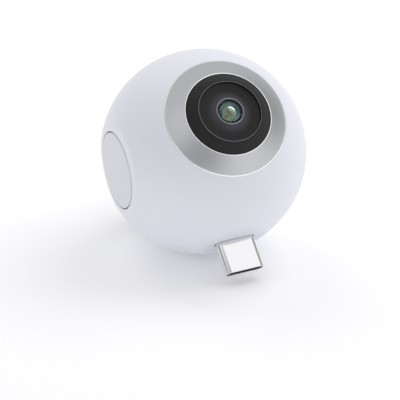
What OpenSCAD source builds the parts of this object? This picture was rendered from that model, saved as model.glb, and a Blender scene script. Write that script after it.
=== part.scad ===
// 360 degree camera: a white ball with a lens on two opposite sides, a push
// button on its left side and a plug under its foot. Millimetres.
// +Z is up, the front lens looks along -Y, the button is pressed along +X.
// The origin is the middle of the flat foot, where the plug leaves the ball.

/* [Ball] */
// outside diameter of the ball
ball_d = 41.5; // [40.5:0.5:44.5]
// wall of the two half shells
wall = 1.65; // [1.45:0.05:1.85]
// depth of the flat foot cut into the ball
foot_cut = 1.1; // [0.9:0.05:1.4]
// how far the seam lies in front of the middle of the ball
seam_off = 0.9; // [0.7:0.05:1.2]
// gap that shows at the seam
seam_gap = 0.1; // [0.06:0.02:0.2]
// how far the lip that closes the seam is let into the wall
lip_t = 0.65; // [0.45:0.05:0.75]
// how far that lip stands inside the wall
lip_in = 0.35; // [0.25:0.05:0.6]
// how far the lip reaches past the seam
lip_h = 1.1; // [0.7:0.1:1.5]
// clearance round the lip
lip_fit = 0.1; // [0.05:0.05:0.2]
// width of the lip along the top
lip_top_w = 24; // [18:0.5:26]
// width of the lip on each side of the plug
lip_low_w = 3.7; // [2.8:0.1:4.6]
// distance of those two from the plug's axis
lip_low_at = 9.7; // [8.8:0.1:10.6]
// thickness of the pad inside the foot
foot_pad = 2; // [1.7:0.1:2.4]

/* [Button and side cap] */
// how far in from each side of the ball the bevel round the button starts
land_cut = 2.4; // [2.2:0.05:2.6]
// height of that bevel
bevel_h = 0.42; // [0.32:0.01:0.47]
// thickness of the shell below the bevel
pad_t = 1.85; // [1.45:0.05:2.05]
// radius of the button and of the side cap
disc_r = 7.68; // [7.19:0.01:7.94]
// how far they stand proud of the bevel
disc_proud = 0.11; // [0.07:0.01:0.19]
// gap round them
disc_gap = 0.25; // [0.15:0.05:0.35]
// chamfer on their outer edge
disc_edge = 0.2; // [0.1:0.05:0.35]
// width of the flange that keeps them in the ball
flange_w = 0.85; // [0.6:0.05:1.05]
// thickness of that flange
flange_t = 0.75; // [0.55:0.05:0.95]
// play between the flange and the shell
flange_play = 0.08; // [0.05:0.01:0.12]
// radius of the button's stem
stem_r = 1.4; // [0.9:0.1:1.8]
// length of the button's stem
stem_l = 0.6; // [0.4:0.02:0.8]
// play between the stem and the switch plunger
stem_play = 0.03; // [0.02:0.01:0.06]

/* [Lens trim] */
// outer radius of the silver trim ring
trim_r_out = 12.23; // [12.08:0.01:12.55]
// inner radius of the silver trim ring
trim_r_in = 8.51; // [8.39:0.01:8.77]
// thickness of the trim ring
trim_t = 0.9; // [0.7:0.05:1.05]
// polished chamfer on both edges of the trim ring
trim_edge = 0.16; // [0.1:0.02:0.28]
// clearance of glued and pressed parts
fit = 0.06; // [0.04:0.01:0.1]
// height of the black cone above the trim ring
cone_h = 1.25; // [1.1:0.05:1.45]
// length of the collar under the cone
collar_h = 2.7; // [2.4:0.1:2.9]
// width of the ledge the collar rests on
ledge_w = 1; // [0.7:0.1:1.3]
// thickness of that ledge
ledge_t = 1.1; // [0.8:0.1:1.3]
// wall of the shell round the collar
ledge_wall = 1.3; // [1.1:0.1:1.5]
// width of the ledge under the lens barrel
perch_w = 1.1; // [0.9:0.1:1.4]
// how far the cone's outer edge lies below the trim ring
cone_drop = 0.12; // [0.06:0.02:0.18]
// how far the cone's top lies below the barrel's rim
cone_under = 0.02; // [0.01:0.01:0.06]

/* [Lens barrel] */
// radius of the dished front of the barrel
dish_r = 6.36; // [6.05:0.01:6.65]
// width of the polished rim of the dish
rim_w = 0.16; // [0.1:0.02:0.24]
// chamfer on the outer edge of that rim
rim_edge = 0.06; // [0.04:0.01:0.08]
// depth of the dish
dish_depth = 0.8; // [0.65:0.05:0.9]
// fillet between the wall and the floor of the dish
dish_fillet = 0.35; // [0.25:0.05:0.5]
// width of the curved rise from the dish to the front glass
rise_w = 1.9; // [1.6:0.1:2.2]
// width of the land round the front glass's ring
mound_w = 0.12; // [0.08:0.02:0.18]
// how far that land lies below the rim
mound_drop = 0.1; // [0.06:0.02:0.14]
// thickness of the barrel's front flange
front_t = 1.5; // [1.3:0.05:1.7]
// radius of the barrel's tube
tube_r = 3.6; // [3.4:0.05:3.8]
// length of the barrel
barrel_h = 8.6; // [8.5:0.05:8.8]
// outer radius of the ring that holds the front glass
keeper_r = 2.79; // [2.72:0.01:2.91]
// height of that ring
keeper_h = 0.9; // [0.75:0.05:1.05]
// how far it stands above the rim
keeper_proud = 0.02; // [0:0.01:0.06]
// chamfer on its outer edge
keeper_edge = 0.06; // [0.03:0.01:0.1]
// width of its flat top
keeper_land = 0.11; // [0.07:0.01:0.15]
// depth of the slope inside it
keeper_slope = 0.2; // [0.13:0.01:0.28]
// clearance of a thread
thread_fit = 0.02; // [0.01:0.01:0.04]
// radius of the front glass
dome_r = 2.4; // [2.3:0.02:2.49]
// depth of the front glass's seat below the rim
dome_h = 2.25; // [2.1:0.05:2.4]
// how far below the rim the front glass starts to curve
dome_drop = 0.4; // [0.25:0.05:0.55]
// width of the flat edge behind the front glass
dome_wall = 0.65; // [0.55:0.05:0.85]
// how far the front glass stands above the ring
dome_rise = 0.94; // [0.73:0.01:1.11]
// radius of the inner lens elements
inner_glass_r = 2.1; // [1.9:0.05:2.15]
// thickness of the barrel below the fourth element
stop_h = 1; // [0.8:0.05:1.1]
// width of the step that the fourth element rests on
stop_w = 0.45; // [0.35:0.05:0.55]
// how much the hole behind that step opens out
stop_flare = 0.2; // [0.1:0.05:0.3]
// radius of the second element's front
second_front_r = 2.1; // [1.9:0.05:2.4]
// height of that front
second_rise = 0.46; // [0.36:0.02:0.5]
// radius of the second element's hollow back
second_back_r = 1.5; // [1.4:0.05:1.7]
// depth of that hollow
second_hollow = 0.55; // [0.35:0.05:0.65]
// radius of the third element's front
third_front_r = 3.3; // [3.1:0.1:3.5]
// height of that front
third_rise = 0.36; // [0.28:0.02:0.38]
// radius of the fourth element's hollow front
fourth_front_r = 2.8; // [2.4:0.1:3.1]
// depth of that hollow
fourth_hollow = 0.35; // [0.25:0.05:0.5]
// thickness of the fourth element at its edge
fourth_t = 1.3; // [1.1:0.05:1.4]
// thickness of the third element at its edge
third_t = 1.1; // [0.9:0.05:1.2]
// height of the spacer below the third element
low_spacer_h = 0.55; // [0.45:0.05:0.65]
// height of the spacer above it
high_spacer_h = 0.75; // [0.6:0.05:0.85]
// wall of the spacers
spacer_wall = 0.4; // [0.3:0.05:0.55]

/* [Lens holder and sensor] */
// outer radius of the holder's tube
holder_r = 4.5; // [4.3:0.05:4.8]
// height of the holder
holder_h = 5.5; // [5.2:0.1:5.9]
// distance from the rim of the lens to the sensor board
sensor_depth = 11; // [10.8:0.05:11.2]
// side of the holder's base and of the sensor board
base_w = 11; // [10.7:0.1:11.2]
// thickness of the holder's base
base_t = 1.1; // [0.9:0.1:1.3]
// thickness of the sensor board
sensor_pcb_t = 0.9; // [0.7:0.1:1.1]
// width of the image sensor
sensor_w = 4.8; // [4.2:0.1:5.2]
// height of the image sensor
sensor_h = 3.9; // [3.3:0.1:4.1]
// thickness of the image sensor
sensor_t = 0.85; // [0.65:0.05:1]
// thickness of the infrared filter
filter_t = 0.3; // [0.2:0.05:0.4]
// height of the infrared filter's seat
filter_up = 1.5; // [1.4:0.05:1.8]
// distance of the sensor board screws from its edges
sensor_screw_in = 0.9; // [0.85:0.01:1]
// radius of a sensor board screw
sensor_screw_r = 0.46; // [0.36:0.02:0.51]
// radius of its head
sensor_head_r = 0.82; // [0.64:0.02:0.88]
// height of its head
sensor_head_h = 0.55; // [0.35:0.05:0.65]
// width of the flat cable
flex_w = 5.5; // [4.6:0.1:5.9]
// thickness of the flat cable
flex_t = 0.15; // [0.1:0.01:0.2]
// how far its fold stands out past the sensor board
flex_out = 0.85; // [0.65:0.05:1]
// radius of its folds
flex_fold = 0.9; // [0.7:0.05:1.1]
// where its upper end lies on the sensor board
flex_end = 3; // [2.6:0.1:3.3]

/* [Main board] */
// gap between the main board and the side cap
board_gap = 0.48; // [0.36:0.02:0.74]
// thickness of the main board
board_t = 1; // [0.8:0.1:1.1]
// gap between the main board and the plug's collar
board_above = 1.4; // [1.2:0.1:1.7]
// side of the image processor
processor_w = 7.4; // [6.5:0.1:7.6]
// thickness of the image processor
processor_t = 0.9; // [0.7:0.05:1.05]
// thickness of the thermal pad on the processor
thermal_t = 0.45; // [0.35:0.05:0.65]
// how far the pad's edges lie inside the processor's
thermal_in = 0.35; // [0.15:0.05:0.75]
// side of the heat spreader
spreader_w = 11; // [9.2:0.1:11.4]
// thickness of the heat spreader
spreader_t = 0.75; // [0.45:0.05:0.95]
// side of the shield can
can_w = 9.2; // [8.3:0.1:9.6]
// how far the shield can lies off the middle
can_at = 1.3; // [1.2:0.05:1.5]
// height of the shield can
can_h = 1.5; // [1.3:0.05:1.8]
// sheet of the shield can
can_t = 0.2; // [0.15:0.01:0.25]
// width of the memory chip
memory_w = 4.8; // [4.2:0.1:5.2]
// height of the memory chip
memory_h = 3.7; // [3.3:0.1:3.9]
// side of the power chip
power_w = 3; // [2.6:0.1:3.1]
// thickness of both chips
chip_t = 0.85; // [0.65:0.05:0.95]
// width of the clock crystal
crystal_w = 3; // [2.3:0.1:3.1]
// height of the clock crystal
crystal_h = 2.3; // [1.8:0.1:2.4]
// thickness of the clock crystal
crystal_t = 0.75; // [0.55:0.05:0.95]
// length of a small capacitor
capacitor_l = 0.9; // [0.7:0.05:1.1]
// width of a small capacitor
capacitor_w = 0.45; // [0.35:0.05:0.6]
// number of small capacitors in a row
capacitor_n = 6; // [4:1:6]
// spacing of the small capacitors
capacitor_pitch = 1.8; // [1.5:0.1:2]
// height of the flat cable connectors
connector_h = 0.9; // [0.7:0.05:1.05]
// width of the flat cable connectors
connector_w = 2; // [1.8:0.05:2.2]
// gap between the processor and a connector
connector_gap = 0.35; // [0.25:0.05:0.45]

/* [Switch] */
// width of the switch body
switch_w = 4.1; // [3.6:0.1:4.6]
// length of the switch body
switch_l = 3; // [2.8:0.1:3.1]
// how far the switch is sunk into the main board
switch_sink = 1.1; // [0.9:0.05:1.3]
// thickness of the switch body
switch_t = 1.7; // [1.5:0.1:1.9]
// radius of the switch plunger
plunger_r = 0.74; // [0.56:0.02:0.82]
// how far the plunger stands out of the switch
plunger_out = 0.7; // [0.55:0.05:0.85]
// length of the plunger inside the switch
plunger_in = 0.9; // [0.7:0.05:1.05]
// room for the plunger's travel inside the switch
plunger_room = 1.1; // [0.9:0.05:1.2]

/* [Plug] */
// width of the plug
plug_w = 8.25; // [8.2:0.01:8.3]
// thickness of the plug
plug_t = 2.4; // [2.36:0.01:2.42]
// length of the plug below the foot
plug_l = 6.65; // [6:0.05:6.8]
// sheet of the plug's shell
plug_wall = 0.25; // [0.2:0.01:0.3]
// gap between the plug and the ball
plug_gap = 0.15; // [0.1:0.05:0.25]
// width of the opening in the plug's insulator
mouth_w = 6.7; // [6.5:0.05:6.9]
// depth of that opening
mouth_l = 5.4; // [4.8:0.1:5.8]
// how far the insulator's face lies inside the shell's lip
core_in = 0.15; // [0.1:0.05:0.3]
// clearance of the insulator and the collar on the shell
core_fit = 0.02; // [0.01:0.01:0.04]
// number of contacts in a row
contact_n = 12; // [8:1:12]
// how far the contacts start behind the shell's lip
contact_in = 0.6; // [0.4:0.05:0.9]
// spacing of the plug's contacts
contact_pitch = 0.5; // [0.45:0.01:0.52]
// width of a contact
contact_w = 0.25; // [0.2:0.01:0.3]
// thickness of a contact
contact_t = 0.12; // [0.1:0.01:0.15]
// thickness of the collar that carries the plug
collar_t = 1.85; // [1.45:0.05:2.05]
// wall of that collar round the plug
collar_wall = 1.6; // [1.25:0.05:1.75]
// how far the plug's shell reaches past the collar
shell_past = 0.9; // [0.6:0.1:1.1]
// length of the contacts on the main board
contact_tail = 1.5; // [1.1:0.1:1.8]

/* [Screws] */
// spacing of the four case screws, both ways
screw_pitch = 14.85; // [14.55:0.05:15.15]
// radius of a case screw's thread
screw_r = 0.7; // [0.6:0.02:0.8]
// radius of a case screw's head
head_r = 1.15; // [1.01:0.01:1.2]
// height of a case screw's head
head_h = 0.85; // [0.65:0.05:0.95]
// radius of the hexagon recess in the head
recess_r = 0.6; // [0.4:0.05:0.7]
// clearance round a screw where it passes a board
hole_fit = 0.1; // [0.08:0.01:0.16]
// clearance round a case screw's head
head_fit = 0.2; // [0.1:0.05:0.25]
// wall of a screw boss round the head's well
boss_wall = 0.6; // [0.5:0.05:0.7]
// thickness of plastic under a case screw's head
under_head = 2; // [1.7:0.1:2.4]
// length of thread in the front shell
bite = 3.9; // [3.3:0.1:4.6]
// depth of the hole past the end of a case screw
tip_room = 0.75; // [0.45:0.05:0.95]
// how much slimmer the front bosses are at the main board
boss_step = 0.3; // [0.2:0.05:0.4]

/* [Hidden] */
$fn = 96;
eps = 0.01;
far = 60;
ball_r = ball_d / 2;
inner_r = ball_r - wall;
foot_h = ball_r - foot_cut;
land_x = ball_r - land_cut;
pad_x = land_x - pad_t;
rim_x = land_x + bevel_h;
disc_x = rim_x + disc_proud;
hole_r = disc_r + disc_gap;
bevel_slope = bevel_h / (sqrt(ball_r * ball_r - land_x * land_x) - hole_r);
flange_r = hole_r + flange_w;
flange_x = pad_x - flange_play;
flange_in = flange_x - flange_t;
trim_floor_r = ball_r - trim_t;
trim_d = sqrt(ball_r * ball_r - trim_r_in * trim_r_in);
rim_d = trim_d + cone_h;
collar_d = trim_d - collar_h;
barrel_d = rim_d - barrel_h;
front_d = rim_d - front_t;
keeper_d = rim_d - keeper_h;
dome_d = rim_d - dome_h;
dome_edge_d = rim_d - dome_drop;
dome_top_d = rim_d + dome_rise;
dome_sag = dome_top_d - dome_edge_d;
dome_sphere_r = (dome_r * dome_r + dome_sag * dome_sag) / (2 * dome_sag);
dome_hollow_r = dome_r - dome_wall;
bore_r = inner_glass_r + fit;
glass_d = barrel_d + stop_h;
fourth_top = glass_d + fourth_t;
third_low = fourth_top + low_spacer_h;
third_top = third_low + third_t;
second_low = third_top + high_spacer_h;
second_top = dome_d - fit;
holder_d = rim_d - sensor_depth;
holder_top_d = holder_d + holder_h;
filter_d = holder_d + filter_up;
sensor_screw_at = base_w / 2 - sensor_screw_in;
window_r = sqrt(sensor_w * sensor_w + sensor_h * sensor_h) / 2 + fit;
sensor_pcb_d = holder_d - sensor_pcb_t;
board_f = board_t / 2;
flex_low_d = board_f + connector_h;
flex_x = base_w / 2 + flex_out;
connector_x = processor_w / 2 + connector_gap;
board_r = flange_in - board_gap;
screw_at = screw_pitch / 2;
well_r = head_r + head_fit;
boss_r = well_r + boss_wall;
seat_y = board_f + under_head;
plunger_x = flange_in - stem_l;
switch_x = plunger_x - plunger_out;
switch_low = switch_x - switch_l;
board_left = switch_low + switch_sink;
collar_low = foot_h - foot_pad;
collar_up = collar_low - collar_t;
shell_end = collar_up - shell_past;
board_low = collar_up - board_above;

// Everything below is drawn round the middle of the ball and lifted onto its foot.
module lifted() {
    translate([0, 0, foot_h]) children();
}

// Turns a piece drawn along +Z so that it looks out of the front or the rear lens.
module lens_at(turn) {
    lifted() rotate([0, 0, turn]) rotate([90, 0, 0]) children();
}

// Turns a piece drawn along +Z so that it looks out of the left or the right side.
module side_at(turn) {
    lifted() rotate([0, 0, turn]) rotate([0, -90, 0]) children();
}

module tube(r_out, r_in, low, high) {
    translate([0, 0, low]) difference() {
        cylinder(r = r_out, h = high - low);
        translate([0, 0, -eps]) cylinder(r = r_in, h = high - low + 2 * eps);
    }
}

module disc(r, low, high) {
    translate([0, 0, low]) cylinder(r = r, h = high - low);
}

module block(x, y, z) {
    translate([x[0], y[0], z[0]]) cube([x[1] - x[0], y[1] - y[0], z[1] - z[0]]);
}

module screw_places() {
    for (x = [-screw_at, screw_at])
        for (z = [-screw_at, screw_at])
            translate([x, 0, z]) children();
}

// A cylinder along Y between two heights.
module post(r, low, high) {
    translate([0, low, 0]) rotate([-90, 0, 0]) cylinder(r = r, h = high - low);
}

// Flat sided oval of the plug, drawn on the XY plane.
module oval(w, t) {
    square([w - t, t], center = true);
    for (x = [-1, 1])
        translate([x * (w - t) / 2, 0]) circle(d = t);
}

module oval_bar(w, t, low, high) {
    translate([0, 0, low]) linear_extrude(height = high - low) oval(w, t);
}

// Profile of a half shell: the ball outside, the seat of the trim ring and the stepped lens opening.
module shell_profile(seam_d) {
    difference() {
        intersection() {
            circle(r = ball_r);
            translate([trim_r_in - ledge_w, seam_d]) square(far);
        }
        difference() {
            square([trim_r_out + fit, far]);
            circle(r = trim_floor_r - fit);
        }
        translate([0, collar_d]) square([trim_r_in + fit, far]);
    }
}

// Profile of the space inside a half shell, up to the ledge of the lens opening.
module hollow_profile(seam_d) {
    difference() {
        intersection() {
            circle(r = inner_r);
            translate([0, seam_d - 1]) square(far);
        }
        translate([0, collar_d - ledge_t]) square([trim_r_in + ledge_wall, far]);
    }
}

// Space outside the conical bevel round the button or the side cap.
module bevel_profile() {
    polygon([
        [0, rim_x], [hole_r, rim_x], [ball_r, rim_x - bevel_slope * (ball_r - hole_r)],
        [ball_r, far], [0, far]
    ]);
}

// Half shell drawn round its lens axis, with its bevelled sides, its pads and its screw bosses.
module half_shell(seam_d) {
    difference() {
        rotate_extrude() shell_profile(seam_d);
        difference() {
            intersection() {
                rotate_extrude() hollow_profile(seam_d);
                block([-pad_x, pad_x], [-collar_low, far], [-far, far]);
            }
            boss_places() disc(boss_r, board_f, far);
        }
        for (turn = [90, 270])
            rotate([0, turn, 0]) {
                rotate_extrude() bevel_profile();
                disc(hole_r, pad_x - 1, ball_r);
            }
        block([-far, far], [-far, -foot_h], [-far, far]);
        rotate([90, 0, 0])
            oval_bar(plug_w + 2 * plug_gap, plug_t + 2 * plug_gap, collar_low - 1, ball_r);
    }
}

module boss_places() {
    for (x = [-screw_at, screw_at])
        for (y = [-screw_at, screw_at])
            translate([x, y, 0]) children();
}

// The lip of the rear shell reaches past the seam along the top and at both sides of the plug.
module lip_shape(grow, low, high) {
    intersection() {
        tube(inner_r + lip_t + grow, inner_r - lip_in, low, high);
        union() {
            translate([-lip_top_w / 2 - grow, 0, -far]) cube([lip_top_w + 2 * grow, far, 2 * far]);
            for (side = [-1, 1])
                translate([side * lip_low_at - lip_low_w / 2 - grow, -far, -far])
                    cube([lip_low_w + 2 * grow, far, 2 * far]);
        }
    }
}

module front_shell() {
    seam_d = seam_off + seam_gap / 2;
    color("whitesmoke") lens_at(0) difference() {
        union() {
            difference() {
                half_shell(seam_d);
                lip_shape(lip_fit, -far, seam_off + lip_h + lip_fit);
            }
            boss_places() disc(boss_r - boss_step, board_f, seam_d + lip_h);
        }
        boss_places() disc(screw_r + thread_fit, 0, board_f + bite + tip_room);
    }
}

module rear_shell() {
    seam_d = seam_gap / 2 - seam_off;
    color("whitesmoke") lens_at(180) difference() {
        union() {
            half_shell(seam_d);
            lip_shape(0, -seam_off - lip_h, seam_d + lip_t);
        }
        boss_places() disc(well_r, seat_y, far);
        boss_places() disc(screw_r + fit, 0, far);
    }
}

// Four case screws, one solid each, with a hexagon recess in the head.
module case_screws() {
    color("dimgray") lifted() screw_places() difference() {
        union() {
            post(screw_r, -board_f - bite, seat_y + eps);
            post(head_r, seat_y, seat_y + head_h);
        }
        translate([0, seat_y + head_h / 2, 0])
            rotate([-90, 0, 0]) cylinder(r = recess_r, h = head_h, $fn = 6);
    }
}

// Stamped ring that follows the ball, with a polished chamfer on both edges.
module trim_ring_shape() {
    edge_r = trim_r_out - trim_edge;
    edge_d = sqrt(ball_r * ball_r - edge_r * edge_r);
    low_d = edge_d - 2 * trim_edge;
    bevel_d = trim_d - trim_edge;
    rotate_extrude() difference() {
        intersection() {
            circle(r = ball_r);
            translate([trim_r_in, 0]) square([trim_r_out - trim_r_in, far]);
        }
        circle(r = trim_floor_r);
        polygon([[trim_r_in, bevel_d], [trim_r_in + far, bevel_d + far], [trim_r_in, far]]);
        polygon([[edge_r, edge_d], [trim_r_out, low_d], [far, low_d], [far, edge_d]]);
    }
}

module front_trim_ring() {
    color("silver") lens_at(0) trim_ring_shape();
}

module rear_trim_ring() {
    color("silver") lens_at(180) trim_ring_shape();
}

// Black cone that carries the lens barrel and rests on the shell's ledge.
module lens_surround_shape() {
    r_out = trim_r_in - fit;
    r_top = dish_r + fit;
    top_d = rim_d - cone_under;
    rotate_extrude() polygon([
        [dish_r - perch_w, collar_d], [r_out, collar_d], [r_out, trim_d - cone_drop],
        [r_top + rim_edge, top_d], [r_top, top_d - rim_edge], [r_top, front_d], [dish_r - perch_w, front_d]
    ]);
}

module front_lens_surround() {
    color("#202124") lens_at(0) lens_surround_shape();
}

module rear_lens_surround() {
    color("#202124") lens_at(180) lens_surround_shape();
}

// Space in front of the barrel: a flat floor with a fillet at the wall, and a curved rise to the front glass.
module dish_profile() {
    floor_d = rim_d - dish_depth;
    wall_r = dish_r - rim_w;
    land_r = keeper_r + thread_fit + mound_w;
    rise_r = land_r + rise_w;
    rise_h = dish_depth - mound_drop;
    curve_r = (rise_w * rise_w + rise_h * rise_h) / (2 * rise_h);
    translate([rise_r, floor_d]) square([wall_r - dish_fillet - rise_r, far]);
    translate([rise_r, floor_d + dish_fillet]) square([wall_r - rise_r, far]);
    translate([wall_r - dish_fillet, floor_d + dish_fillet]) circle(r = dish_fillet);
    intersection() {
        translate([rise_r, floor_d + curve_r]) circle(r = curve_r);
        translate([land_r, floor_d]) square([rise_w + eps, dish_depth + eps]);
    }
    translate([0, rim_d - mound_drop]) square([rise_r, far]);
}

// Turned barrel: polished rim, dished front, seat of the front glass and bore of the inner elements.
module lens_barrel_shape() {
    keeper_bore = keeper_r + thread_fit;
    rotate_extrude() difference() {
        polygon([
            [tube_r, barrel_d], [tube_r, front_d], [dish_r, front_d], [dish_r, rim_d - rim_edge],
            [dish_r - rim_edge, rim_d], [keeper_bore, rim_d], [keeper_bore, keeper_d],
            [dome_r + fit, keeper_d], [dome_r + fit, dome_d], [bore_r, dome_d], [bore_r, glass_d],
            [bore_r - stop_w, glass_d], [bore_r - stop_w + stop_flare, barrel_d]
        ]);
        dish_profile();
    }
}

module front_lens_barrel() {
    color("#26272a") lens_at(0) lens_barrel_shape();
}

module rear_lens_barrel() {
    color("#26272a") lens_at(180) lens_barrel_shape();
}

// Threaded ring that holds the front glass in the barrel.
module lens_keeper_shape() {
    top_d = rim_d + keeper_proud;
    top_r = keeper_r - keeper_edge;
    rotate_extrude() polygon([
        [dome_r + fit, keeper_d], [keeper_r, keeper_d], [keeper_r, top_d - keeper_edge], [top_r, top_d],
        [top_r - keeper_land, top_d], [dome_r + fit, top_d - keeper_slope]
    ]);
}

module front_lens_keeper() {
    color("#707278") lens_at(0) lens_keeper_shape();
}

module rear_lens_keeper() {
    color("#707278") lens_at(180) lens_keeper_shape();
}

// Front glass: a steep dome with a hollow back.
module lens_dome_shape() {
    difference() {
        intersection() {
            translate([0, 0, dome_top_d - dome_sphere_r]) sphere(r = dome_sphere_r);
            disc(dome_r, dome_d, far);
        }
        translate([0, 0, dome_d]) sphere(r = dome_hollow_r);
    }
}

module front_lens_dome() {
    color("seagreen", 0.6) lens_at(0) lens_dome_shape();
}

module rear_lens_dome() {
    color("seagreen", 0.6) lens_at(180) lens_dome_shape();
}

// Inner elements from the front inwards, each resting on the next spacer.
module second_element_shape() {
    difference() {
        union() {
            disc(inner_glass_r, second_low, second_top);
            intersection() {
                translate([0, 0, second_top + second_rise - second_front_r]) sphere(r = second_front_r);
                disc(inner_glass_r, second_top - second_rise, far);
            }
        }
        translate([0, 0, second_low + second_hollow - second_back_r]) sphere(r = second_back_r);
    }
}

module third_element_shape() {
    union() {
        disc(inner_glass_r, third_low, third_top);
        intersection() {
            translate([0, 0, third_top + third_rise - third_front_r]) sphere(r = third_front_r);
            disc(inner_glass_r, third_top - third_rise, far);
        }
    }
}

module fourth_element_shape() {
    difference() {
        disc(inner_glass_r, glass_d, fourth_top);
        translate([0, 0, fourth_top - fourth_hollow + fourth_front_r]) sphere(r = fourth_front_r);
    }
}

module front_second_element() {
    color("lightblue", 0.6) lens_at(0) second_element_shape();
}

module rear_second_element() {
    color("lightblue", 0.6) lens_at(180) second_element_shape();
}

module front_third_element() {
    color("lightblue", 0.6) lens_at(0) third_element_shape();
}

module rear_third_element() {
    color("lightblue", 0.6) lens_at(180) third_element_shape();
}

module front_fourth_element() {
    color("lightblue", 0.6) lens_at(0) fourth_element_shape();
}

module rear_fourth_element() {
    color("lightblue", 0.6) lens_at(180) fourth_element_shape();
}

// Two black spacer rings between the inner elements.
module lens_spacers_shape() {
    tube(inner_glass_r, inner_glass_r - spacer_wall, fourth_top, third_low);
    tube(inner_glass_r, inner_glass_r - spacer_wall, third_top, second_low);
}

module front_lens_spacers() {
    color("#1c1c1e") lens_at(0) lens_spacers_shape();
}

module rear_lens_spacers() {
    color("#1c1c1e") lens_at(180) lens_spacers_shape();
}

module sensor_screw_places() {
    for (x = [-sensor_screw_at, sensor_screw_at])
        for (y = [-sensor_screw_at, sensor_screw_at])
            translate([x, y, 0]) children();
}

// Moulded holder: the barrel screws into its tube, the sensor board under its base.
module lens_holder_shape() {
    difference() {
        union() {
            disc(holder_r, holder_d, holder_top_d);
            translate([-base_w / 2, -base_w / 2, holder_d]) cube([base_w, base_w, base_t]);
        }
        disc(tube_r + fit, filter_d, far);
        disc(window_r, 0, far);
        sensor_screw_places() disc(sensor_screw_r + thread_fit, 0, far);
    }
}

module front_lens_holder() {
    color("#2b2c2f") lens_at(0) lens_holder_shape();
}

module rear_lens_holder() {
    color("#2b2c2f") lens_at(180) lens_holder_shape();
}

module front_infrared_filter() {
    color("paleturquoise", 0.7) lens_at(0) disc(tube_r - fit, filter_d, filter_d + filter_t);
}

module rear_infrared_filter() {
    color("paleturquoise", 0.7) lens_at(180) disc(tube_r - fit, filter_d, filter_d + filter_t);
}

module image_sensor_shape() {
    block([-sensor_w / 2, sensor_w / 2], [-sensor_h / 2, sensor_h / 2], [holder_d, holder_d + sensor_t]);
}

module front_image_sensor() {
    color("#3a3550") lens_at(0) image_sensor_shape();
}

module rear_image_sensor() {
    color("#3a3550") lens_at(180) image_sensor_shape();
}

module sensor_board_shape() {
    difference() {
        block([-base_w / 2, base_w / 2], [-base_w / 2, base_w / 2], [sensor_pcb_d, holder_d]);
        sensor_screw_places() disc(sensor_screw_r + hole_fit, 0, far);
    }
}

module front_sensor_board() {
    color("darkgreen") lens_at(0) sensor_board_shape();
}

module rear_sensor_board() {
    color("darkgreen") lens_at(180) sensor_board_shape();
}

// Four small screws from the back of the sensor board into the holder's base.
module sensor_screws_shape() {
    sensor_screw_places() {
        disc(sensor_screw_r, sensor_pcb_d - eps, holder_d + base_t - hole_fit);
        disc(sensor_head_r, sensor_pcb_d - sensor_head_h, sensor_pcb_d);
    }
}

module front_sensor_screws() {
    color("silver") lens_at(0) sensor_screws_shape();
}

module rear_sensor_screws() {
    color("silver") lens_at(180) sensor_screws_shape();
}

// Flat cable: folds from the back of the sensor board round to its connector on the main board.
module sensor_flex_shape() {
    fold_x = flex_x - flex_fold;
    inside = flex_fold - flex_t;
    height = sensor_pcb_d - flex_low_d;
    rotate([90, 0, 0]) translate([0, flex_low_d, -flex_w / 2]) linear_extrude(height = flex_w) {
        translate([flex_x - flex_t, flex_fold]) square([flex_t, height - 2 * flex_fold]);
        translate([connector_x + fit, 0]) square([fold_x - connector_x - fit, flex_t]);
        translate([flex_end, height - flex_t]) square([fold_x - flex_end, flex_t]);
        translate([fold_x, flex_fold]) difference() {
            circle(r = flex_fold);
            circle(r = inside);
            translate([-2 * flex_fold, -2 * flex_fold]) square([2 * flex_fold, 4 * flex_fold]);
            translate([-flex_fold, 0]) square([3 * flex_fold, 2 * flex_fold]);
        }
        translate([fold_x, height - flex_fold]) difference() {
            circle(r = flex_fold);
            circle(r = inside);
            translate([-2 * flex_fold, -2 * flex_fold]) square([2 * flex_fold, 4 * flex_fold]);
            translate([-flex_fold, -2 * flex_fold]) square([3 * flex_fold, 2 * flex_fold]);
        }
    }
}

module front_sensor_flex() {
    color("#b8792e") lens_at(0) sensor_flex_shape();
}

module rear_sensor_flex() {
    color("#b8792e") lens_at(180) sensor_flex_shape();
}

// Main board: upright in the middle of the ball, clamped by the four case screws.
module main_board() {
    color("darkgreen") lifted() difference() {
        post(board_r, -board_f, board_f);
        block([-far, -board_left], [-far, far], [-far, far]);
        block([-far, far], [-far, far], [-far, -board_low]);
        block([-far, -switch_low], [-far, far], [-switch_w / 2 - fit, switch_w / 2 + fit]);
        screw_places() post(screw_r + hole_fit, -far, far);
    }
}

module image_processor() {
    color("#18181a") lifted()
        block([-processor_w / 2, processor_w / 2], [-board_f - processor_t, -board_f],
              [-processor_w / 2, processor_w / 2]);
}

module thermal_pad() {
    w = processor_w / 2 - thermal_in;
    color("lightsteelblue") lifted()
        block([-w, w], [-board_f - processor_t - thermal_t, -board_f - processor_t], [-w, w]);
}

module heat_spreader() {
    low = board_f + processor_t + thermal_t;
    half = spreader_w / 2;
    color("peru") lifted() block([-half, half], [-low - spreader_t, -low], [-half, half]);
}

// Folded sheet lid over the memory and the power chip on the rear face.
module shield_can() {
    half = can_w / 2;
    color("gainsboro") lifted() translate([can_at, 0, 0]) difference() {
        block([-half, half], [board_f, board_f + can_h], [-half, half]);
        block([can_t - half, half - can_t], [0, board_f + can_h - can_t], [can_t - half, half - can_t]);
    }
}

module memory_chip() {
    color("#1b1b1d") lifted() translate([can_at, 0, can_w / 4])
        block([-memory_w / 2, memory_w / 2], [board_f, board_f + chip_t], [-memory_h / 2, memory_h / 2]);
}

module power_chip() {
    color("#1b1b1d") lifted() translate([can_at, 0, -can_w / 4])
        block([-power_w / 2, power_w / 2], [board_f, board_f + chip_t], [-power_w / 2, power_w / 2]);
}

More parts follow.
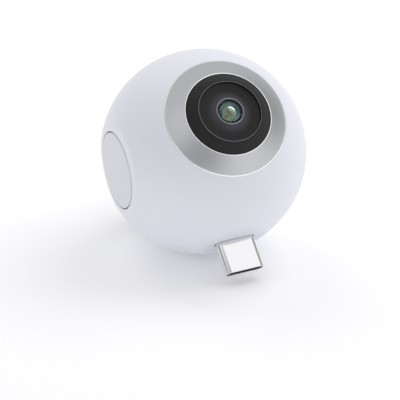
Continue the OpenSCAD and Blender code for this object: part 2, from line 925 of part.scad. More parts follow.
module clock_crystal() {
    low = can_w / 2 + crystal_h;
    color("lightgray") lifted()
        block([-crystal_w / 2, crystal_w / 2], [board_f, board_f + crystal_t], [low, low + crystal_h]);
}

// Two rows of small capacitors above the processor.
module board_capacitors() {
    low = spreader_w / 2 + capacitor_pitch;
    color("burlywood") lifted()
        for (i = [0 : capacitor_n - 1])
            for (row = [0, 1])
                translate([(i - (capacitor_n - 1) / 2) * capacitor_pitch, 0, low + row * capacitor_pitch])
                    block([-capacitor_l / 2, capacitor_l / 2], [-board_f - capacitor_w, -board_f],
                          [-capacitor_w / 2, capacitor_w / 2]);
}

// One connector for each flat cable, front and rear.
module flex_connectors() {
    half = flex_w / 2 + 2 * flex_t;
    color("ivory")
        for (turn = [0, 180])
            lens_at(turn)
                block([connector_x, connector_x + connector_w], [-half, half], [board_f, flex_low_d]);
}

// Side push switch, sunk into the edge of the main board behind the button.
module tact_switch() {
    color("#3c3d40") lifted() difference() {
        block([-switch_x, -switch_low], [-switch_t / 2, switch_t / 2], [-switch_w / 2, switch_w / 2]);
        rotate([0, -90, 0]) disc(plunger_r + fit, switch_x - plunger_in - plunger_room, far);
    }
}

module switch_plunger() {
    color("firebrick") lifted() rotate([0, -90, 0]) disc(plunger_r, switch_x - plunger_in, plunger_x);
}

// Disc with a chamfered edge and the flange that keeps it behind the shell.
module disc_shape() {
    rotate_extrude() polygon([
        [0, flange_in], [flange_r, flange_in], [flange_r, flange_x], [disc_r, flange_x],
        [disc_r, disc_x - disc_edge], [disc_r - disc_edge, disc_x], [0, disc_x]
    ]);
}

module button() {
    color("gainsboro") side_at(0) union() {
        disc_shape();
        disc(stem_r, plunger_x + stem_play, flange_in + stem_l / 2);
    }
}

module side_cap() {
    color("gainsboro") side_at(180) disc_shape();
}

// Drawn steel shell of the plug.
module plug_shell() {
    color("silver") lifted() difference() {
        oval_bar(plug_w, plug_t, -foot_h - plug_l, -shell_end);
        oval_bar(plug_w - 2 * plug_wall, plug_t - 2 * plug_wall, -foot_h - plug_l - 1, far);
    }
}

module contact_strips() {
    for (i = [0 : contact_n - 1])
        for (side = [-1, 1])
            translate([(i - (contact_n - 1) / 2) * contact_pitch, side * (board_f + contact_t / 2), 0])
                block([-contact_w / 2, contact_w / 2], [-contact_t / 2, contact_t / 2],
                      [-foot_h - plug_l + contact_in, -board_low + contact_tail]);
}

// Moulded core of the plug with the opening that takes a socket's tongue.
module plug_insulator() {
    tip = -foot_h - plug_l + core_in;
    skin = plug_wall + core_fit;
    color("#222326") lifted() difference() {
        oval_bar(plug_w - 2 * skin, plug_t - 2 * skin, tip, -board_low);
        block([-mouth_w / 2, mouth_w / 2], [-board_f, board_f], [tip - 1, tip + mouth_l]);
        contact_strips();
    }
}

module plug_contacts() {
    color("gold") lifted() contact_strips();
}

// Collar that carries the plug on the pad inside the foot.
module plug_collar() {
    color("#2b2c2f") lifted() difference() {
        oval_bar(plug_w + 2 * collar_wall, plug_t + 2 * collar_wall, -collar_low, -collar_up);
        oval_bar(plug_w + 2 * core_fit, plug_t + 2 * core_fit, -far, 0);
    }
}

front_shell();
rear_shell();
case_screws();
front_trim_ring();
rear_trim_ring();
front_lens_surround();
rear_lens_surround();
front_lens_barrel();
rear_lens_barrel();
front_lens_keeper();
rear_lens_keeper();
front_lens_dome();
rear_lens_dome();
front_second_element();
rear_second_element();
front_third_element();
rear_third_element();
front_fourth_element();
rear_fourth_element();
front_lens_spacers();
rear_lens_spacers();
front_lens_holder();
rear_lens_holder();
front_infrared_filter();
rear_infrared_filter();
front_image_sensor();
rear_image_sensor();
front_sensor_board();
rear_sensor_board();
front_sensor_screws();
rear_sensor_screws();
front_sensor_flex();
rear_sensor_flex();
main_board();
image_processor();
thermal_pad();
heat_spreader();
shield_can();
memory_chip();
power_chip();
clock_crystal();
board_capacitors();
flex_connectors();
tact_switch();
switch_plunger();
button();
side_cap();
plug_shell();
plug_insulator();
plug_contacts();
plug_collar();
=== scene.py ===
from math import acos, asin, cos, pi, radians, sin, sqrt

import bpy
from mathutils import Euler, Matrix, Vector


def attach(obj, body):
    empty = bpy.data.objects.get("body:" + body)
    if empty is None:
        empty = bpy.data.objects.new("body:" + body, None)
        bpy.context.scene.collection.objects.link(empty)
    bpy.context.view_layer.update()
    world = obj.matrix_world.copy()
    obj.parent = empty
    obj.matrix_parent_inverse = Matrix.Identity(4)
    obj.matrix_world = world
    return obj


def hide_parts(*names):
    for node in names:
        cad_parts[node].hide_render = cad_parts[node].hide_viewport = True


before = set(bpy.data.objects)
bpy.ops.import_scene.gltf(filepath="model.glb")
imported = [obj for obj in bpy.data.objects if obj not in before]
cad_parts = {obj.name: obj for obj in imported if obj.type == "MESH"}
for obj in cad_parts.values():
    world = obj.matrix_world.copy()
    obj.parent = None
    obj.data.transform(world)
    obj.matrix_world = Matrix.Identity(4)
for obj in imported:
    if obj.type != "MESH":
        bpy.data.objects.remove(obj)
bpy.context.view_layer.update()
bpy.context.scene.view_settings.view_transform = "Standard"

# Half shells
# The ball is two moulded halves of white ABS with a satin spark-eroded skin.
# They meet at an upright seam and are screwed together from the rear half, under its trim ring.
MM = 0.001
BALL = Vector((0, 0, 19.65)) * MM
FRONT, REAR = Vector((0, -1, 0)), Vector((0, 1, 0))
LEFT, RIGHT = Vector((-1, 0, 0)), Vector((1, 0, 0))
UP = Vector((0, 0, 1))
# Sizes are in mm. On a turned piece r is measured from its axis, and heights along the axis
# from the middle of the ball. A crease is the angle in degrees past which an edge stays sharp.
BALL_R, INNER_R = 20.75, 19.1
FRONT_SEAM, REAR_SEAM = 0.91, -0.89
SEAT_R, SEAT_BALL_R = 12.29, 19.79
LEDGE_TOP, LEDGE_LOW = 16.225, 15.125
BORE_R, LEDGE_R, COLLAR_R = 8.57, 7.51, 9.81
SHELL_EDGE, SHELL_CREASE = 0.03, 9
DISC_HOLE_R, BEVEL_TOP, BEVEL_SLOPE = 7.93, 18.77, 0.239
BEVEL_CUT_LOW, BEVEL_CUT_TOP = 14, 30
FOOT_CUT = 100
SLOT_W, SLOT_T, SLOT_LOW, SLOT_DEPTH, SLOT_CREASE = 8.69, 2.84, -5, 12, 30
OVAL_STEP = 6
WELD = 0.002


def to_linear(code):
    """Linear RGBA of an sRGB hex colour."""
    levels = [int(code[i:i + 2], 16) / 255 for i in (1, 3, 5)]
    return [v / 12.92 if v <= 0.04045 else ((v + 0.055) / 1.055) ** 2.4 for v in levels] + [1]


def add_node(material, kind, inputs=None, **settings):
    """Adds a node with its settings; an input is a value or the socket that feeds it."""
    node = material.node_tree.nodes.new(kind)
    for name, value in settings.items():
        setattr(node, name, value)
    for name, value in (inputs or {}).items():
        if isinstance(value, bpy.types.NodeSocket):
            material.node_tree.links.new(value, node.inputs[name])
        else:
            node.inputs[name].default_value = value
    return node


def arc(middle, radius, start, end, count):
    """Points (r, height) on a circle, from one angle to another in degrees."""
    turns = [radians(start + (end - start) * i / count) for i in range(count + 1)]
    return [(middle[0] + radius * cos(t), middle[1] + radius * sin(t)) for t in turns]


def height_angle(r, radius):
    """Angle in degrees at which a circle round the origin is r away from the axis."""
    return acos(r / radius) * 180 / pi


def draw(name, points):
    """Starts a piece as one vertex and extrudes it from point to point."""
    bpy.ops.object.select_all(action="DESELECT")
    bpy.ops.mesh.primitive_plane_add(size=MM)
    piece = bpy.context.object
    piece.name = piece.data.name = name
    bpy.ops.object.mode_set(mode="EDIT")
    bpy.ops.mesh.select_all(action="SELECT")
    bpy.ops.mesh.merge(type="CENTER")
    bpy.ops.transform.translate(value=points[0])
    for a, b in zip(points, points[1:]):
        bpy.ops.mesh.extrude_vertices_move(TRANSFORM_OT_translate={"value": b - a})
    return piece


def close_up(piece, crease):
    """Welds the last loop to the first, turns the faces outwards and shades the piece."""
    bpy.ops.mesh.select_all(action="SELECT")
    bpy.ops.mesh.remove_doubles(threshold=WELD * MM)
    bpy.ops.mesh.normals_make_consistent(inside=False)
    bpy.ops.object.mode_set(mode="OBJECT")
    bpy.ops.object.shade_smooth_by_angle(angle=radians(crease))
    return piece


def turned(name, outline, out, side, crease=12, steps=192):
    """A lathe: an outline of (r, height) spun round an axis through the middle of the ball."""
    points = [BALL + (side * r + out * height) * MM for r, height in outline]
    piece = draw(name, points)
    bpy.ops.mesh.select_all(action="SELECT")
    bpy.ops.mesh.spin(steps=steps, angle=2 * pi, center=BALL, axis=out)
    return close_up(piece, crease)


def oval(width, thickness, height):
    """Outline of a flat sided oval round the plug's axis."""
    half = thickness / 2
    return [Vector((s * (width / 2 - half + half * cos(t)), s * half * sin(t), height)) * MM
            for s in (1, -1) for t in [radians(a) for a in range(-90, 91, OVAL_STEP)]]


def cut(piece, cutter):
    """Takes the cutter's shape out of the piece and deletes the cutter."""
    bpy.ops.object.select_all(action="DESELECT")
    bpy.context.view_layer.objects.active = piece
    piece.select_set(True)
    modifier = piece.modifiers.new("cut", "BOOLEAN")
    modifier.solver = "EXACT"
    modifier.object = cutter
    bpy.ops.object.modifier_apply(modifier=modifier.name)
    bpy.data.objects.remove(cutter)


def shell_outline(seam):
    """Outer skin, stepped opening for the lens and inner wall of a half that starts at the seam."""
    middle = (0, 0)
    seam_turn = asin((seam + SHELL_EDGE) / BALL_R) * 180 / pi
    rim_r = sqrt(BALL_R ** 2 - seam ** 2) - SHELL_EDGE
    seat_edge = arc(middle, BALL_R, seam_turn, height_angle(SEAT_R + SHELL_EDGE, BALL_R), count=60)
    seat_floor = arc(middle, SEAT_BALL_R, height_angle(SEAT_R, SEAT_BALL_R),
                     height_angle(BORE_R, SEAT_BALL_R), count=24)
    inside = arc(middle, INNER_R, height_angle(COLLAR_R, INNER_R),
                 asin(seam / INNER_R) * 180 / pi, count=40)
    return ([(rim_r, seam)] + seat_edge + [(SEAT_R, seat_edge[-1][1] - SHELL_EDGE)] + seat_floor
            + [(BORE_R, LEDGE_TOP), (LEDGE_R, LEDGE_TOP), (LEDGE_R, LEDGE_LOW), (COLLAR_R, LEDGE_LOW)]
            + inside + [(rim_r, seam)])


bevel_cutter = [(0, BEVEL_CUT_LOW), (DISC_HOLE_R, BEVEL_CUT_LOW), (DISC_HOLE_R, BEVEL_TOP - SHELL_EDGE),
                (DISC_HOLE_R + SHELL_EDGE, BEVEL_TOP),
                (BALL_R, BEVEL_TOP - BEVEL_SLOPE * (BALL_R - DISC_HOLE_R)),
                (BALL_R, BEVEL_CUT_TOP), (0, BEVEL_CUT_TOP)]
shells = []
for name, node, out, seam in [("front_half_shell", "front_shell", FRONT, FRONT_SEAM),
                              ("rear_half_shell", "rear_shell", REAR, REAR_SEAM)]:
    shell = turned(name, shell_outline(seam), out, RIGHT)
    for side in (LEFT, RIGHT):
        cut(shell, turned("bevel_cutter", bevel_cutter, side, UP))
    bpy.ops.mesh.primitive_cube_add(size=FOOT_CUT * MM, location=(0, 0, -FOOT_CUT / 2 * MM))
    cut(shell, bpy.context.object)
    slot = draw("slot_cutter", oval(SLOT_W, SLOT_T, SLOT_LOW))
    bpy.ops.mesh.select_all(action="SELECT")
    bpy.ops.mesh.edge_face_add()
    bpy.ops.mesh.extrude_region_move(TRANSFORM_OT_translate={"value": (0, 0, SLOT_DEPTH * MM)})
    close_up(slot, SLOT_CREASE)
    cut(shell, slot)
    bpy.ops.object.shade_smooth_by_angle(angle=radians(SHELL_CREASE))
    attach(shell, "camera")
    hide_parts(node)
    shells.append(shell)


def varied(name, dark, light, grain_mm, roughness, bump_mm=0.0, **sockets):
    """A finish whose tone and roughness vary over grains of one size, with a bump of their depth."""
    material = bpy.data.materials.new(name)
    material.use_nodes = True
    shader = material.node_tree.nodes["Principled BSDF"]
    for socket, value in sockets.items():
        shader.inputs[socket.replace("_", " ")].default_value = value
    place = add_node(material, "ShaderNodeTexCoord")
    grain = add_node(material, "ShaderNodeTexNoise",
                     {"Vector": place.outputs["Object"], "Scale": 1 / (grain_mm * MM), "Detail": 3})
    tone = add_node(material, "ShaderNodeMix",
                    {"Factor": grain.outputs["Fac"], "A": to_linear(dark), "B": to_linear(light)},
                    data_type="RGBA")
    material.node_tree.links.new(tone.outputs["Result"], shader.inputs["Base Color"])
    gloss = add_node(material, "ShaderNodeMapRange",
                     {"Value": grain.outputs["Fac"], "To Min": roughness[0], "To Max": roughness[1]})
    material.node_tree.links.new(gloss.outputs["Result"], shader.inputs["Roughness"])
    if bump_mm:
        relief = add_node(material, "ShaderNodeBump",
                          {"Height": grain.outputs["Fac"], "Strength": 0.2, "Distance": bump_mm * MM})
        material.node_tree.links.new(relief.outputs["Normal"], shader.inputs["Normal"])
    return material


def coat(pieces, material):
    """Gives each piece this one material."""
    for piece in pieces:
        piece.data.materials.clear()
        piece.data.materials.append(material)


# Moulded ABS with a satin skin: a soft wide gloss and a cool white that hardly drifts.
# The spark-eroded grain is near 0.05 mm and is drawn at 0.25 mm to show.
white_abs = varied("satin_white_abs", dark="#E9EAF2", light="#EDEEF6", grain_mm=0.25,
                   roughness=(0.4, 0.46), bump_mm=0.006, IOR=1.53)
coat(shells, white_abs)

# Trim rings
# A stamped aluminium ring, bead blasted and clear anodised, is glued into the seat round each lens.
# Both of its edges are rolled over and polished, and catch the light.
TRIM_OUT, TRIM_IN, TRIM_LOW_R = 12.28, 8.49, 19.85
TRIM_ROLL, TRIM_BAND, TRIM_DROP, TRIM_SKIN = 0.16, 0.2, 0.05, 0.3


def on_ball(r):
    """Height of the ball's skin at r from the axis."""
    return sqrt(BALL_R ** 2 - r ** 2)


roll_turn = height_angle(TRIM_IN + TRIM_ROLL, BALL_R - TRIM_ROLL)
roll_middle = (TRIM_IN + TRIM_ROLL, (BALL_R - TRIM_ROLL) * sin(radians(roll_turn)))
band_turn = height_angle(TRIM_OUT - TRIM_BAND, BALL_R)
trim_outline = (arc((0, 0), TRIM_LOW_R, height_angle(TRIM_OUT, TRIM_LOW_R),
                    height_angle(TRIM_IN, TRIM_LOW_R), count=24)
                + arc(roll_middle, TRIM_ROLL, 180, roll_turn, count=6)
                + arc((0, 0), BALL_R, roll_turn, band_turn, count=28)[1:]
                + [(TRIM_OUT, on_ball(TRIM_OUT) - TRIM_DROP)])
trim_outline.append(trim_outline[0])
trim_rings = []
for name, node, out in [("front_trim", "front_trim_ring", FRONT), ("rear_trim", "rear_trim_ring", REAR)]:
    ring = turned(name, trim_outline, out, RIGHT, crease=30, steps=256)
    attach(ring, "camera")
    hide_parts(node)
    trim_rings.append(ring)


def paint_faces(piece, base, other, wanted):
    """Gives the piece a base material, and another to the faces that pass the test on (r, height)."""
    coat([piece], base)
    piece.data.materials.append(other)
    bpy.ops.object.select_all(action="DESELECT")
    bpy.context.view_layer.objects.active = piece
    piece.select_set(True)
    bpy.ops.object.mode_set(mode="EDIT")
    bpy.ops.mesh.select_mode(type="FACE")
    bpy.ops.mesh.select_all(action="DESELECT")
    bpy.ops.object.mode_set(mode="OBJECT")
    for face in piece.data.polygons:
        off = (face.center - BALL) / MM
        face.select = wanted(sqrt(off.x ** 2 + off.z ** 2), abs(off.y))
    bpy.ops.object.mode_set(mode="EDIT")
    piece.active_material_index = 1
    bpy.ops.object.material_slot_assign()
    bpy.ops.mesh.select_mode(type="VERT")
    bpy.ops.object.mode_set(mode="OBJECT")


# Blasted aluminium: a dull even grey with a fine sparkle of pits. The pits are near 0.05 mm
# on the real ring and are drawn at 0.18 mm to show.
blasted = varied("blasted_aluminium", dark="#C2C3C7", light="#CFD0D3", grain_mm=0.18,
                 roughness=(0.3, 0.42), bump_mm=0.006, Metallic=1.0)
# Polished aluminium: a bright edge, evenly glossy.
polished = varied("polished_aluminium", dark="#F6F6F8", light="#FCFCFE", grain_mm=0.1,
                  roughness=(0.2, 0.3), Metallic=1.0)
flat_in, flat_out = BALL_R * cos(radians(roll_turn)), TRIM_OUT - TRIM_BAND
skin_r = TRIM_LOW_R + TRIM_SKIN
for ring in trim_rings:
    paint_faces(ring, blasted, polished,
                lambda r, height: height ** 2 + r ** 2 > skin_r ** 2 and not flat_in < r < flat_out)

# Lens surrounds
# A moulded black cone fills the middle of each trim ring and carries the lens barrel.
# It is glass filled polycarbonate with a fine matt grain.
RIM = 20.175
SURROUND_BORE, CONE_R, CONE_TOP_R, CONE_LOW, PERCH = 5.26, 8.45, 6.42, 18.805, 18.675
FOOT_EDGE, FOOT_RISE = 0.06, 0.02
BROW_W, BROW_EDGE, BROW_DROP, BROW_LOW = 0.1, 0.03, 0.03, 0.07
surround_outline = [(SURROUND_BORE, LEDGE_TOP), (CONE_R, LEDGE_TOP), (CONE_R, CONE_LOW - FOOT_EDGE),
                    (CONE_R - FOOT_EDGE, CONE_LOW + FOOT_RISE), (CONE_TOP_R + BROW_W, RIM - BROW_DROP),
                    (CONE_TOP_R + BROW_EDGE, RIM - BROW_DROP), (CONE_TOP_R, RIM - BROW_LOW),
                    (CONE_TOP_R, PERCH), (SURROUND_BORE, PERCH), (SURROUND_BORE, LEDGE_TOP)]
surrounds = []
for name, node, out in [("front_surround", "front_lens_surround", FRONT),
                        ("rear_surround", "rear_lens_surround", REAR)]:
    surround = turned(name, surround_outline, out, RIGHT, crease=25)
    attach(surround, "camera")
    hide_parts(node)
    surrounds.append(surround)
# Grained polycarbonate: near black, a broad dull sheen, grain drawn at 0.2 mm.
black_pc = varied("grained_black_polycarbonate", dark="#121214", light="#18191B", grain_mm=0.2,
                  roughness=(0.5, 0.62), bump_mm=0.006, IOR=1.5, Specular_IOR_Level=0.36)
coat(surrounds, black_pc)

# Lens barrels
# Each lens sits in a barrel turned from aluminium and anodised black, dropped into the cone.
# Its dished front rises in a curve to the front glass and ends in a thin rim cut bare after anodising.
TUBE_R, TUBE_LOW, DISH_R = 3.6, 11.575, 6.36
RIM_W, RIM_EDGE, RIM_BARE = 0.1, 0.02, 0.03
DISH_FLOOR, DISH_FILLET, RISE_R = 19.375, 0.35, 4.83
LAND_R, LAND, LAND_EDGE = 2.93, 20.075, 0.04
KEEPER_BORE, KEEPER_SEAT, GLASS_BORE, GLASS_SEAT = 2.81, 19.275, 2.46, 17.925
ELEMENT_BORE, ELEMENT_SEAT, STOP_R, STOP_FLARE_R = 2.16, 12.575, 1.71, 1.91
RISE_CURVE = ((RISE_R - LAND_R) ** 2 + (LAND - DISH_FLOOR) ** 2) / (2 * (LAND - DISH_FLOOR))
rise_turn = asin((RISE_R - LAND_R) / RISE_CURVE) * 180 / pi
barrel_outline = ([(TUBE_R, TUBE_LOW), (TUBE_R, PERCH), (DISH_R, PERCH), (DISH_R, RIM - RIM_EDGE),
                   (DISH_R - RIM_EDGE, RIM), (DISH_R - RIM_W + RIM_EDGE, RIM),
                   (DISH_R - RIM_W, RIM - RIM_EDGE)]
                  + arc((DISH_R - RIM_W - DISH_FILLET, DISH_FLOOR + DISH_FILLET), DISH_FILLET,
                        0, -90, count=6)
                  + arc((RISE_R, DISH_FLOOR + RISE_CURVE), RISE_CURVE, -90, -90 - rise_turn, count=14)
                  + [(KEEPER_BORE + LAND_EDGE, LAND), (KEEPER_BORE, LAND - LAND_EDGE),
                     (KEEPER_BORE, KEEPER_SEAT), (GLASS_BORE, KEEPER_SEAT), (GLASS_BORE, GLASS_SEAT),
                     (ELEMENT_BORE, GLASS_SEAT), (ELEMENT_BORE, ELEMENT_SEAT), (STOP_R, ELEMENT_SEAT),
                     (STOP_FLARE_R, TUBE_LOW), (TUBE_R, TUBE_LOW)])
barrels = []
for name, node, out in [("front_barrel", "front_lens_barrel", FRONT),
                        ("rear_barrel", "rear_lens_barrel", REAR)]:
    barrel = turned(name, barrel_outline, out, RIGHT, crease=32)
    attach(barrel, "camera")
    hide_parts(node)
    barrels.append(barrel)
# Black anodising: near black with a soft dull sheen. Its unevenness is drawn at 0.15 mm, the feed
# of the turning tool, to show.
anodised = varied("black_anodised_aluminium_painted_sheen", dark="#101012", light="#161619", grain_mm=0.15,
                  roughness=(0.4, 0.5), IOR=1.5, Specular_IOR_Level=0.32)
# Painted sheen: the curved rise is painted paler towards the glass, in place of its brighter reflection.
anodised_place = add_node(anodised, "ShaderNodeTexCoord")
anodised_off = add_node(anodised, "ShaderNodeVectorMath",
                        {0: anodised_place.outputs["Object"], 1: BALL}, operation="SUBTRACT")
anodised_flat = add_node(anodised, "ShaderNodeVectorMath",
                         {0: anodised_off.outputs["Vector"], 1: (1, 0, 1)}, operation="MULTIPLY")
anodised_r = add_node(anodised, "ShaderNodeVectorMath",
                      {0: anodised_flat.outputs["Vector"]}, operation="LENGTH")
# Painted sheen mask, nothing at the foot of the rise and full at the glass.
painted_sheen_near = add_node(anodised, "ShaderNodeMapRange",
                         {"Value": anodised_r.outputs["Value"],
                          "From Min": RISE_R * MM, "From Max": KEEPER_BORE * MM},
                         interpolation_type="SMOOTHSTEP")
anodised_bsdf = anodised.node_tree.nodes["Principled BSDF"]
painted_sheen_tone = add_node(anodised, "ShaderNodeMix",
                         {"Factor": painted_sheen_near.outputs["Result"], "B": to_linear("#46464B"),
                          "A": anodised_bsdf.inputs["Base Color"].links[0].from_socket}, data_type="RGBA")
anodised.node_tree.links.new(painted_sheen_tone.outputs["Result"], anodised_bsdf.inputs["Base Color"])
# Bare turned aluminium: a grey line of metal round the dish, dulled by handling.
bare = varied("bare_turned_aluminium", dark="#7C7C81", light="#8E8E93", grain_mm=0.1,
              roughness=(0.35, 0.45), Metallic=1.0)
for barrel in barrels:
    paint_faces(barrel, anodised, bare,
                lambda r, height: height > RIM - RIM_BARE and DISH_R - RIM_W < r < DISH_R)

# Lens keepers
# A thin ring turned from aluminium and anodised grey screws into each barrel over the front glass.
# Its outer edge is rounded, and its bore is a short funnel, blackened against stray light.
KEEPER_R, KEEPER_TOP = 2.79, 20.195
KEEPER_ROUND, ROUND_MIDDLE_IN, ROUND_MIDDLE_DROP = 0.07, 0.03, 0.02
KEEPER_FLAT, KEEPER_DARK, FUNNEL_W, FUNNEL_EDGE, FUNNEL_DROP = 0.16, 0.19, 0.2, 0.03, 0.2
keeper_outline = [(GLASS_BORE, KEEPER_SEAT), (KEEPER_R, KEEPER_SEAT),
                  (KEEPER_R, KEEPER_TOP - KEEPER_ROUND),
                  (KEEPER_R - ROUND_MIDDLE_IN, KEEPER_TOP - ROUND_MIDDLE_DROP),
                  (KEEPER_R - KEEPER_ROUND, KEEPER_TOP), (KEEPER_R - KEEPER_FLAT, KEEPER_TOP),
                  (KEEPER_R - FUNNEL_W, KEEPER_TOP - FUNNEL_EDGE),
                  (GLASS_BORE, KEEPER_TOP - FUNNEL_DROP), (GLASS_BORE, KEEPER_SEAT)]
keepers = []
for name, node, out in [("front_keeper", "front_lens_keeper", FRONT),
                        ("rear_keeper", "rear_lens_keeper", REAR)]:
    keeper = turned(name, keeper_outline, out, RIGHT, crease=40, steps=128)
    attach(keeper, "camera")
    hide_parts(node)
    keepers.append(keeper)
# Grey anodising: a cool grey metal, evenly dull.
grey_metal = varied("grey_anodised_aluminium", dark="#92909A", light="#A19FA9", grain_mm=0.2,
                    roughness=(0.3, 0.4), Metallic=1.0)
# The funnel takes the black anodising with its painted sheen, which is full this near the axis and shows
# dark grey.
for keeper in keepers:
    paint_faces(keeper, grey_metal, anodised, lambda r, height: r < KEEPER_R - KEEPER_DARK)

# Front glasses and inner elements
# The front glass of each lens is a steep polished dome with a hollow back and a many layer coating.
# The smaller elements behind it and the infrared filter are seen through it.
DOME_R, DOME_TOP, DOME_BALL, HOLLOW_R = 2.4, 21.115, 2.819, 1.75
dome_middle = (0, DOME_TOP - DOME_BALL)
dome_outline = (arc(dome_middle, DOME_BALL, 90, height_angle(DOME_R, DOME_BALL), count=24)
                + [(DOME_R, GLASS_SEAT)] + arc((0, GLASS_SEAT), HOLLOW_R, 0, 90, count=18))
domes = []
for name, node, out in [("front_dome", "front_lens_dome", FRONT), ("rear_dome", "rear_lens_dome", REAR)]:
    dome = turned(name, dome_outline, out, RIGHT, crease=30, steps=128)
    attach(dome, "camera")
    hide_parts(node)
    domes.append(dome)
# Coated optical glass: clear, with a green tint in its reflections from a thin coating.
# A trace of dust, in specks of 0.3 mm, keeps the gloss from being perfect.
coated = varied("coated_optical_glass", dark="#D4E6DC", light="#E4F0E9", grain_mm=0.3,
                roughness=(0.0, 0.03), IOR=1.62, Transmission_Weight=1.0,
                Thin_Film_Thickness=205.0, Thin_Film_IOR=1.9)
coat(domes, coated)


def both(*names):
    """The front and rear solids of these names."""
    return [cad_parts[end + name] for end in ("front_", "rear_") for name in names]


# Polished element glass: clear and greenish, coated for other colours, so it reflects green and amber.
element_glass = varied("polished_element_glass", dark="#7C9C82", light="#8FAE94", grain_mm=0.4,
                       roughness=(0.0, 0.03), IOR=1.7, Transmission_Weight=1.0,
                       Thin_Film_Thickness=215.0, Thin_Film_IOR=2.0)
coat(both("second_element", "third_element", "fourth_element"), element_glass)
# Infrared cut glass: a pale yellow green.
filter_glass = varied("infrared_cut_glass", dark="#A8B878", light="#B8C68A", grain_mm=0.4,
                      roughness=(0.0, 0.03), IOR=1.52, Transmission_Weight=1.0)
coat(both("infrared_filter"), filter_glass)
coat(both("lens_spacers", "lens_holder"), black_pc)

# Button and side cap
# Both are moulded discs of a slightly greyer ABS, kept in the ball by a flange behind the wall.
# The left one is pressed and its stem works the switch; the right one is fixed.
DISC_R, DISC_TOP, DISC_EDGE, DISC_MIDDLE_R = 7.68, 18.88, 0.2, 4
FLANGE_R, FLANGE_TOP, FLANGE_LOW = 8.78, 16.42, 15.67
STEM_R, STEM_LOW = 1.4, 15.1
disc_rim = ([(FLANGE_R, FLANGE_LOW), (FLANGE_R, FLANGE_TOP), (DISC_R, FLANGE_TOP)]
            + arc((DISC_R - DISC_EDGE, DISC_TOP - DISC_EDGE), DISC_EDGE, 0, 90, count=5)
            + [(DISC_MIDDLE_R, DISC_TOP), (0, DISC_TOP)])
stem = [(0, STEM_LOW), (STEM_R, STEM_LOW), (STEM_R, FLANGE_LOW)]
button = turned("button_disc", stem + disc_rim, LEFT, UP, crease=32)
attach(button, "button")
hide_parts("button")
cap = turned("side_cap_disc", [(0, FLANGE_LOW)] + disc_rim, RIGHT, UP, crease=32)
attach(cap, "camera")
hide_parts("side_cap")
# The same satin ABS as the ball, a shade darker, with its grain drawn as coarse.
grey_abs = varied("satin_grey_abs", dark="#DDDEE4", light="#E1E2E8", grain_mm=0.25,
                  roughness=(0.38, 0.44), bump_mm=0.006, IOR=1.53)
coat([button, cap], grey_abs)

# Plug
# The plug's shell is drawn from stainless steel sheet to a flat sided oval with a rolled lip.
# A black nylon core fills it, with gold plated contacts along both walls of its mouth.
PLUG_W, PLUG_T, PLUG_TIP, PLUG_END, PLUG_WALL, PLUG_CREASE = 8.25, 2.4, -6.65, 4.75, 0.25, 35
RIM_WELD = 0.0001
# The lip, as steps in from the outline and up from the tip.
PLUG_LIP = [(0, 0.16), (0.02, 0.08), (0.07, 0.02), (0.13, 0), (0.19, 0.03), (PLUG_WALL, 0.1)]
half_w, half_t = PLUG_W / 2, PLUG_T / 2
plug_rim = oval(PLUG_W, PLUG_T, PLUG_END)
plug = draw("plug_sleeve", plug_rim + plug_rim[:1])
bpy.ops.mesh.select_all(action="SELECT")
bpy.ops.mesh.remove_doubles(threshold=RIM_WELD * MM)
lip_steps = [(step_in, PLUG_TIP + step_up) for step_in, step_up in PLUG_LIP]
inset, height = 0.0, PLUG_END
for next_inset, next_height in lip_steps + [(PLUG_WALL, PLUG_END), (0, PLUG_END)]:
    bpy.ops.mesh.extrude_region_move(
        TRANSFORM_OT_translate={"value": (0, 0, (next_height - height) * MM)})
    bpy.ops.transform.resize(value=((half_w - next_inset) / (half_w - inset),
                                    (half_t - next_inset) / (half_t - inset), 1),
                             center_override=(0, 0, next_height * MM))
    inset, height = next_inset, next_height
close_up(plug, PLUG_CREASE)
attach(plug, "camera")
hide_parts("plug_shell")
# Drawn stainless steel: a bright mirror with a faint unevenness from the drawing die.
stainless = varied("drawn_stainless_steel", dark="#DCDCDE", light="#E8E8EA", grain_mm=0.3,
                   roughness=(0.06, 0.14), Metallic=1.0)
coat([plug], stainless)


def nodes(*names):
    """The solids of these names."""
    return [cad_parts[name] for name in names]


# Moulded nylon: black and dull.
nylon = varied("black_nylon", dark="#141517", light="#1C1D20", grain_mm=0.2, roughness=(0.45, 0.6), IOR=1.53)
coat(nodes("plug_insulator", "plug_collar", "tact_switch"), nylon)
# Gold plating: warm, with a soft shine.
gold = varied("gold_plating", dark="#D9A441", light="#E6B85A", grain_mm=0.2,
              roughness=(0.18, 0.28), Metallic=1.0)
coat(nodes("plug_contacts"), gold)

# Boards, sensors and fasteners
# Inside, a main board stands in the seam plane and a sensor board is screwed under each lens holder.
# Flat cables join them, and small screws hold the boards and the two halves.

# None of it shows from outside. Grain is drawn at 0.2 to 0.5 mm, coarser than it is.
# Glass epoxy under solder mask: dark green with a soft gloss.
laminate = varied("green_board_laminate", dark="#16402A", light="#1E5236", grain_mm=0.5,
                  roughness=(0.35, 0.5), IOR=1.5)
coat(both("sensor_board") + nodes("main_board"), laminate)
# Polished silicon under its cover glass: a dark violet mirror.
silicon = varied("sensor_silicon", dark="#241F33", light="#332C49", grain_mm=0.3,
                 roughness=(0.08, 0.16), IOR=1.5)
coat(both("image_sensor"), silicon)
# Polyimide film over copper: warm amber, half glossy.
polyimide = varied("amber_polyimide_film", dark="#9A5A1E", light="#B26C28", grain_mm=0.5,
                   roughness=(0.25, 0.4), IOR=1.7)
coat(both("sensor_flex"), polyimide)
# Epoxy moulded round the chips: black and matt.
resin = varied("black_moulding_resin", dark="#161617", light="#202022", grain_mm=0.25,
               roughness=(0.5, 0.65), IOR=1.55)
coat(nodes("image_processor", "memory_chip", "power_chip"), resin)
# Silicone filled with ceramic powder: a soft grey blue without gloss.
silicone = varied("filled_silicone_pad", dark="#8796A8", light="#98A6B6", grain_mm=0.4,
                  roughness=(0.7, 0.85), IOR=1.43)
coat(nodes("thermal_pad"), silicone)
